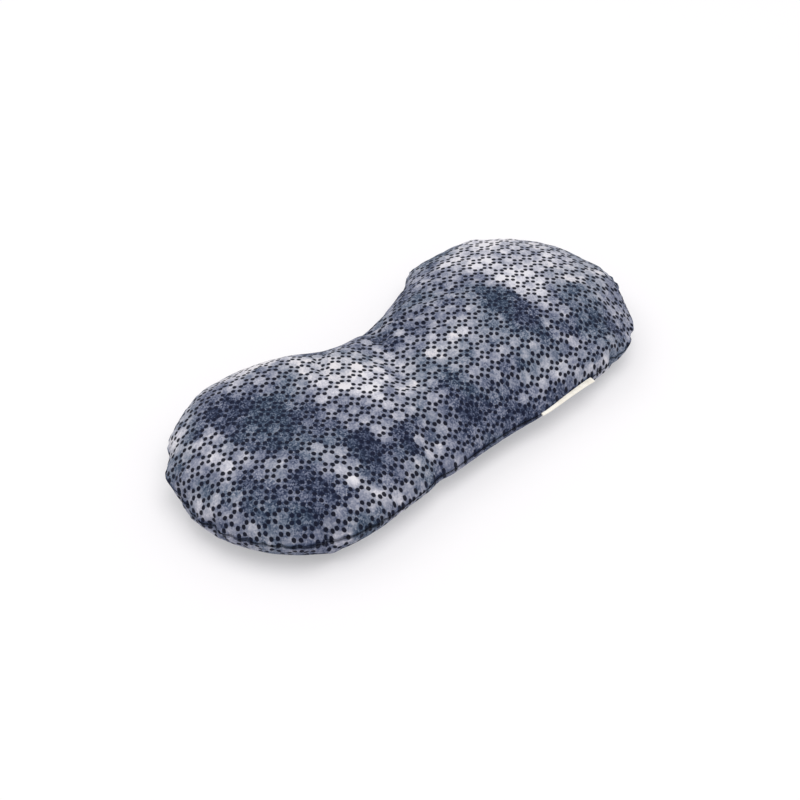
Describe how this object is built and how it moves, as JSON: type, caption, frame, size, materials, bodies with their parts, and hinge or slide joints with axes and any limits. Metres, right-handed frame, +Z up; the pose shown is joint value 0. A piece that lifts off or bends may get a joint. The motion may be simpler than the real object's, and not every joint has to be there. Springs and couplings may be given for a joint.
{
  "type": "eye pillow",
  "caption": "Bean-shaped seed-filled eye pillow in dotted, mottled blue-grey cotton, with a nose notch, a seam all round and a small folded label in the seam.",
  "frame": {"origin": "middle of the pillow's box on the flat underside", "axes": "+X along the pillow towards the lobe with the label, +Y towards the nose notch, +Z up from the underside"},
  "size_m": [0.23, 0.1066, 0.032],
  "materials": {
    "printed_cotton": "plain-weave quilting cotton, mottled grey and blue with a grid of round dark navy dots",
    "thread": "navy polyester sewing thread",
    "label_tape": "blank off-white woven tape, folded in two",
    "seeds": "whole brown flax seeds with a little dried lavender"
  },
  "bodies": {
    "left_lobe": {"cover_top": "printed_cotton", "cover_bottom": "printed_cotton", "seam_needle_thread": "thread", "seam_bobbin_thread": "thread", "closing_thread": "thread", "fill_left": "seeds"},
    "right_lobe": {"fill_right": "seeds"},
    "label": {"label": "label_tape"}
  },
  "joints": [
    {"name": "bridge_fold", "type": "hinge", "parent": "left_lobe", "child": "right_lobe", "pos_m": [0, 0, 0.008], "axis": [0, -1, 0], "range_deg": [0, 75], "deforming": ["cover_top", "cover_bottom", "seam_needle_thread", "seam_bobbin_thread", "closing_thread"]},
    {"name": "label_flap", "type": "hinge", "parent": "right_lobe", "child": "label", "pos_m": [0.04398, -0.05017, 0.012], "axis": [0.9989, -0.0467, 0], "range_deg": [-70, 50], "stiffness_Nm_per_rad": 0.00002}
  ]
}
